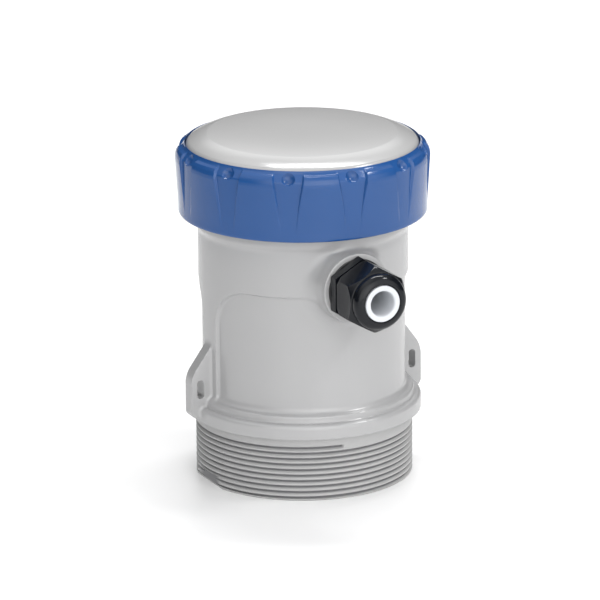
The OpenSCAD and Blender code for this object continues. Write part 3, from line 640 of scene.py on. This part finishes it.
lid_plastic = moulded("lid_plastic", (0.375, 0.375, 0.376), (0.385, 0.385, 0.386), (0.16, 0.18), grain=1500.0,
                      depth=0.00001, dust=0.05, specular=0.7)
dress(domed_lid, lid_plastic)
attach(domed_lid, "lid_group")
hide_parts("lid")
dress(nodes["lid_seal"], seal_rubber)

# ---------------------------------------------------------------- cable gland
# M20 gland of glossy black polyamide: fixed hexagon on a rubber washer, clamping fingers, a soft white insert
# and a dome nut. The nut draws the fingers together as it is screwed on.


def onto_gland_axis(piece):
    """Turns a piece built along Z onto the gland's axis, with zero at the boss face."""
    for vert in piece.data.vertices:
        x, y, z = vert.co
        vert.co = (x, -boss_face * 0.001 - z, gland_z * 0.001 + y)


def hexed(name, rows, steps=216):
    """Closed turned shape whose marked rows are trimmed to a 24 mm hexagon with a corner upwards."""
    half_across_flats = 12.0
    verts, faces = [], []
    for r, z, trim in rows:
        for i in range(steps):
            a = 2 * math.pi * i / steps
            off_flat = (math.degrees(a) + 30) % 60 - 30
            flat_r = half_across_flats / math.cos(math.radians(off_flat))
            here = min(r, flat_r) if trim else r
            verts.append((here * math.cos(a) * 0.001, here * math.sin(a) * 0.001, z * 0.001))
    for k in range(len(rows)):
        n = (k + 1) % len(rows)
        for i in range(steps):
            j = (i + 1) % steps
            faces.append((k * steps + i, k * steps + j, n * steps + j, n * steps + i))
    piece = new_piece(name, verts, faces)
    onto_gland_axis(piece)
    soften(piece, 24)
    return piece


def trimmed(points):
    """Rows of the outline that the hexagon trims."""
    return [(r, z, True) for r, z in points]


def round_rows(points):
    """Rows of the outline that stay round."""
    return [(r, z, False) for r, z in points]


gland_plastic = moulded("gland_plastic", (0.004, 0.005, 0.007), (0.006, 0.007, 0.010), (0.10, 0.15),
                        grain=1400.0, depth=0.000006, clouds=60.0, dust=0.0, specular=0.28)
# dome nut: chamfered hexagon, a small step, then the rounded nose down to its flat mouth
nut_rows = trimmed([(12.3, 6.5), (12.8, 6.55), (13.0, 6.75)])
nut_rows += trimmed([(13.0 + 0.9 * k / 6, 6.75 + 1.7 * k / 6) for k in range(1, 7)])
nut_rows += trimmed([(13.9, z) for z in (10.0, 13.0, 15.6)])
nut_rows += trimmed([(13.9 - 1.75 * (k / 9) ** 1.3, 15.9 + 2.8 * k / 9) for k in range(1, 10)])
nut_rows += trimmed([(11.95, 18.95), (11.6, 19.0)])
nut_rows += round_rows([(11.45, 19.05), (11.4, 19.3)] + arc(8.2, 20.1, 3.2, 4, 78, 12))
nut_rows += round_rows([(8.6, 23.36), (8.2, 23.4), (7.9, 23.38), (7.75, 23.2), (7.72, 21.5), (7.72, 19.0),
                        (10.9, 16.9), (10.9, 8.0), (11.3, 6.5)])
dome_nut = hexed("dome_nut", nut_rows)
dress(dome_nut, gland_plastic)
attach(dome_nut, "nut")
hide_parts("gland_nut")

# insert: soft sleeve with a rounded lip round the cable hole
insert_rows = round_rows([(5.1, 6.3), (7.35, 6.3), (7.4, 6.5), (7.4, 18.0)]
                         + arc(6.95, 23.12, 0.45, 0, 90, 5) + arc(5.95, 22.72, 0.85, 90, 180, 7)
                         + [(5.1, 20.0), (5.1, 13.0)])
cable_insert = hexed("cable_insert", insert_rows, 120)
insert_rubber = moulded("insert_rubber", (0.60, 0.62, 0.65), (0.63, 0.65, 0.68), (0.42, 0.5), grain=900.0,
                        depth=0.00003, dust=0.05)
dress(cable_insert, insert_rubber)
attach(cable_insert, "insert")
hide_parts("gland_insert")

# fixed hexagon, the shank behind it and the clamping fingers in front, in one body; slots cut the fingers
# free
body_rows = round_rows([(6.4, -10.9), (9.6, -10.9), (10.0, -10.4), (10.0, 0.98)])
body_rows += trimmed([(13.6, 1.0), (13.86, 1.2), (13.86, 3.6), (13.86, 5.2), (13.6, 5.48)])
body_rows += round_rows([(10.6, 5.5), (10.6, 13.5), (9.4, 13.5), (8.3, 19.7), (8.1, 19.9), (7.5, 19.9),
                         (7.5, 6.2), (6.4, 6.2)])
gland_trunk = hexed("gland_trunk", body_rows)
fingers = 8
slot_from_r, slot_to_r, slot_half_w, slot_foot, slot_top = 0.0064, 0.0120, 0.0006, 0.0140, 0.0210
box = [(x, y, z) for x in (slot_from_r, slot_to_r) for y in (-slot_half_w, slot_half_w)
       for z in (slot_foot, slot_top)]
slot_cutters = new_piece("slot_cutter", box, [(0, 1, 3, 2), (4, 6, 7, 5), (0, 4, 5, 1), (2, 3, 7, 6),
                                              (0, 2, 6, 4), (1, 5, 7, 3)])
repeat = slot_cutters.modifiers.new("repeat", "NODES")
repeat.node_group = around_axis
set_inputs(repeat, {"Count": fingers, "Weld Distance": 0.0, "Material": gland_plastic})
flatten(slot_cutters)
onto_gland_axis(slot_cutters)
combine(gland_trunk, slot_cutters, "DIFFERENCE")
soften(gland_trunk, 24)
dress(gland_trunk, gland_plastic)
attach(gland_trunk, "housing_group")
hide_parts("gland_body")
dress(nodes["gland_washer"], seal_rubber)

# ---------------------------------------------------------------- antenna
# Smooth PTFE lens on the closed face, a turned aluminium horn over it, and a blued steel circlip that holds
# the horn's rim.
lens_plastic = moulded("lens_plastic", (0.72, 0.72, 0.71), (0.77, 0.77, 0.76), (0.28, 0.34), grain=700.0,
                       depth=0.00001, dust=0.0)
dress(nodes["antenna_lens"], lens_plastic)

# Lathe marks: fine rings that follow height and radius about the housing axis.
lathe_marks = mask_group("lathe_marks", [("Rings", 3000.0), ("Smears", 60.0)], ["Height", "Smears"])
group_in, group_out = lathe_marks.nodes.new("NodeGroupInput"), lathe_marks.nodes.new("NodeGroupOutput")
place = lathe_marks.nodes.new("ShaderNodeTexCoord")
parts = lathe_marks.nodes.new("ShaderNodeSeparateXYZ")
wire(lathe_marks, ((place, "Object"), (parts, "Vector")))
from_axis = sums(lathe_marks, "SQRT", sums(lathe_marks, "ADD",
                 sums(lathe_marks, "MULTIPLY", parts.outputs["X"], parts.outputs["X"]),
                 sums(lathe_marks, "MULTIPLY", parts.outputs["Y"], parts.outputs["Y"])))
feed = sums(lathe_marks, "MULTIPLY", sums(lathe_marks, "ADD", from_axis, parts.outputs["Z"]),
            group_in.outputs["Rings"])
ridge = lathe_marks.nodes.new("ShaderNodeTexNoise")
ridge.noise_dimensions = "1D"
ridge.inputs["Scale"].default_value = 1.0
smear = lathe_marks.nodes.new("ShaderNodeTexNoise")
lathe_marks.links.new(feed, ridge.inputs["W"])
wire(lathe_marks, ((place, "Object"), (smear, "Vector")), ((group_in, "Smears"), (smear, "Scale")),
     ((ridge, "Fac"), (group_out, "Height")), ((smear, "Fac"), (group_out, "Smears")))


def metal(name, dark, light, rough, rings=3000.0, depth=0.00001):
    """Bare or plated metal with fine turning marks and slow stains."""
    material = bpy.data.materials.new(name)
    material.use_nodes = True
    tree = material.node_tree
    shader = tree.nodes["Principled BSDF"]
    shader.inputs["Metallic"].default_value = 1.0
    marks = tree.nodes.new("ShaderNodeGroup")
    marks.node_tree = lathe_marks
    marks.inputs["Rings"].default_value = rings
    tint = tree.nodes.new("ShaderNodeMix")
    tint.data_type = "RGBA"
    tint.inputs["A"].default_value = (*dark, 1)
    tint.inputs["B"].default_value = (*light, 1)
    gloss = tree.nodes.new("ShaderNodeMapRange")
    gloss.inputs["To Min"].default_value = rough[0]
    gloss.inputs["To Max"].default_value = rough[1]
    relief = tree.nodes.new("ShaderNodeBump")
    relief.inputs["Distance"].default_value = depth
    wire(tree, ((marks, "Smears"), (tint, "Factor")), ((tint, "Result"), (shader, "Base Color")),
         ((marks, "Smears"), (gloss, "Value")), ((gloss, "Result"), (shader, "Roughness")),
         ((marks, "Height"), (relief, "Height")), ((relief, "Normal"), (shader, "Normal")))
    return material


dress(nodes["antenna_horn"], metal("horn_metal", (0.66, 0.67, 0.68), (0.76, 0.77, 0.78), (0.22, 0.34)))
dress(nodes["horn_circlip"], metal("spring_steel", (0.08, 0.10, 0.15), (0.14, 0.16, 0.20), (0.25, 0.4)))

# ---------------------------------------------------------------- circuit boards
# Two round boards of green laminate, with a pin header between them. The lower one is screwed to the horn
# and has a tinned can over the radar chip; the upper one hangs from the carrier plate on brass spacers. Copper
# tracks show as a slightly raised, lighter pattern under the varnish.


def laminate(name):
    """Varnished board with a brick-like net of raised tracks."""
    material = bpy.data.materials.new(name)
    material.use_nodes = True
    tree = material.node_tree
    shader = tree.nodes["Principled BSDF"]
    shader.inputs["Coat Weight"].default_value = 0.4
    shader.inputs["Roughness"].default_value = 0.35
    place = tree.nodes.new("ShaderNodeTexCoord")
    tracks = tree.nodes.new("ShaderNodeTexBrick")
    tracks.inputs["Scale"].default_value = 260.0
    tracks.inputs["Mortar Size"].default_value = 0.06
    tracks.inputs["Color1"].default_value = (0.010, 0.120, 0.045, 1)
    tracks.inputs["Color2"].default_value = (0.014, 0.145, 0.055, 1)
    tracks.inputs["Mortar"].default_value = (0.030, 0.260, 0.090, 1)
    relief = tree.nodes.new("ShaderNodeBump")
    relief.inputs["Distance"].default_value = 0.00003
    wire(tree, ((place, "Object"), (tracks, "Vector")), ((tracks, "Color"), (shader, "Base Color")),
         ((tracks, "Fac"), (relief, "Height")), ((relief, "Normal"), (shader, "Normal")))
    return material


board_laminate = laminate("board_laminate")
dress(nodes["radar_board"], board_laminate)
dress(nodes["main_board"], board_laminate)
component_plastic = moulded("component_plastic", (0.018, 0.018, 0.020), (0.030, 0.030, 0.032), (0.4, 0.5),
                            grain=1200.0, dust=0.1)
dress(nodes["board_parts"], component_plastic)
dress(nodes["board_link"], moulded("header_plastic", (0.012, 0.012, 0.012), (0.02, 0.02, 0.02), (0.4, 0.5)))
dress(nodes["screening_can"], metal("can_metal", (0.55, 0.55, 0.54), (0.68, 0.68, 0.67), (0.25, 0.4)))
dress(nodes["board_spacers"], metal("spacer_brass", (0.60, 0.43, 0.16), (0.72, 0.54, 0.24), (0.2, 0.3)))
screw_steel = metal("screw_steel", (0.52, 0.52, 0.51), (0.64, 0.64, 0.65), (0.24, 0.38))
for label in ("radar_board_screws", "main_board_screws", "carrier_screws", "terminal_screws"):
    dress(nodes[label], screw_steel)

# ---------------------------------------------------------------- carrier plate and terminals
# Dark polyamide plate screwed to the housing posts, with the green terminal block standing on it.
dress(nodes["carrier_plate"], moulded("carrier_plastic", (0.045, 0.046, 0.05), (0.06, 0.061, 0.065),
                                      (0.42, 0.5), dust=0.2))
dress(nodes["terminal_block"], moulded("terminal_plastic", (0.02, 0.13, 0.06), (0.026, 0.16, 0.075),
                                       (0.35, 0.45), dust=0.1))

# ---------------------------------------------------------------- studio
# Large pale sheet with a faint sheen, a surround made of wide soft patches of light, a long lamp above and
# behind the object, and a small one high on the right.
half = 3.0
floor = new_piece("floor", [(-half, -half, 0), (half, -half, 0), (half, half, 0), (-half, half, 0)],
                  [(0, 1, 2, 3)])
floor_sheet = bpy.data.materials.new("floor_sheet")
floor_sheet.use_nodes = True
sheet_shader = floor_sheet.node_tree.nodes["Principled BSDF"]
sheet_shader.inputs["Base Color"].default_value = (0.93, 0.93, 0.93, 1)
sheet_shader.inputs["Roughness"].default_value = 0.3
dress(floor, floor_sheet)

world = bpy.data.worlds.new("surround")
scene.world = world
world.use_nodes = True
sky = world.node_tree
way = sky.nodes.new("ShaderNodeTexCoord")
total = 0.05
# azimuth and height of each patch in degrees, the dot product where it fades out, and its strength
patches = ((0, 90, 0.45, 0.85), (-175, 55, 0.7, 0.7), (-118, 15, 0.7, 2.25), (-70, 15, 0.7, 1.65),
           (65, 35, 0.93, 1.5))
for azimuth, height, edge_dot, strength in patches:
    along = sky.nodes.new("ShaderNodeVectorMath")
    along.operation = "DOT_PRODUCT"
    a, e = math.radians(azimuth), math.radians(height)
    along.inputs[1].default_value = (math.cos(a) * math.cos(e), math.sin(a) * math.cos(e), math.sin(e))
    sky.links.new(way.outputs["Generated"], along.inputs[0])
    patch = sky.nodes.new("ShaderNodeMapRange")
    patch.interpolation_type = "SMOOTHSTEP"
    patch.inputs["From Min"].default_value = edge_dot
    patch.inputs["To Max"].default_value = strength
    sky.links.new(along.outputs["Value"], patch.inputs["Value"])
    total = sums(sky, "ADD", patch.outputs["Result"], total)
sky.links.new(total, sky.nodes["Background"].inputs["Strength"])
sky.nodes["Background"].inputs["Color"].default_value = (1, 1, 1, 1)


def soft_lamp(name, place, size, power):
    """Area lamp that points straight down, with its long side across the camera's view."""
    data = bpy.data.lights.new(name, "AREA")
    data.shape = "RECTANGLE"
    data.size, data.size_y = size
    data.energy = power
    lamp = bpy.data.objects.new(name, data)
    scene.collection.objects.link(lamp)
    lamp.location = place
    lamp.rotation_euler = (0, 0, math.radians(-25.4))


soft_lamp("strip", (0.36, 0.35, 1.4), (0.9, 0.22), 10)
soft_lamp("key", (0.86, -0.64, 1.27), (0.3, 0.3), 8)
scene.view_settings.view_transform = "Standard"
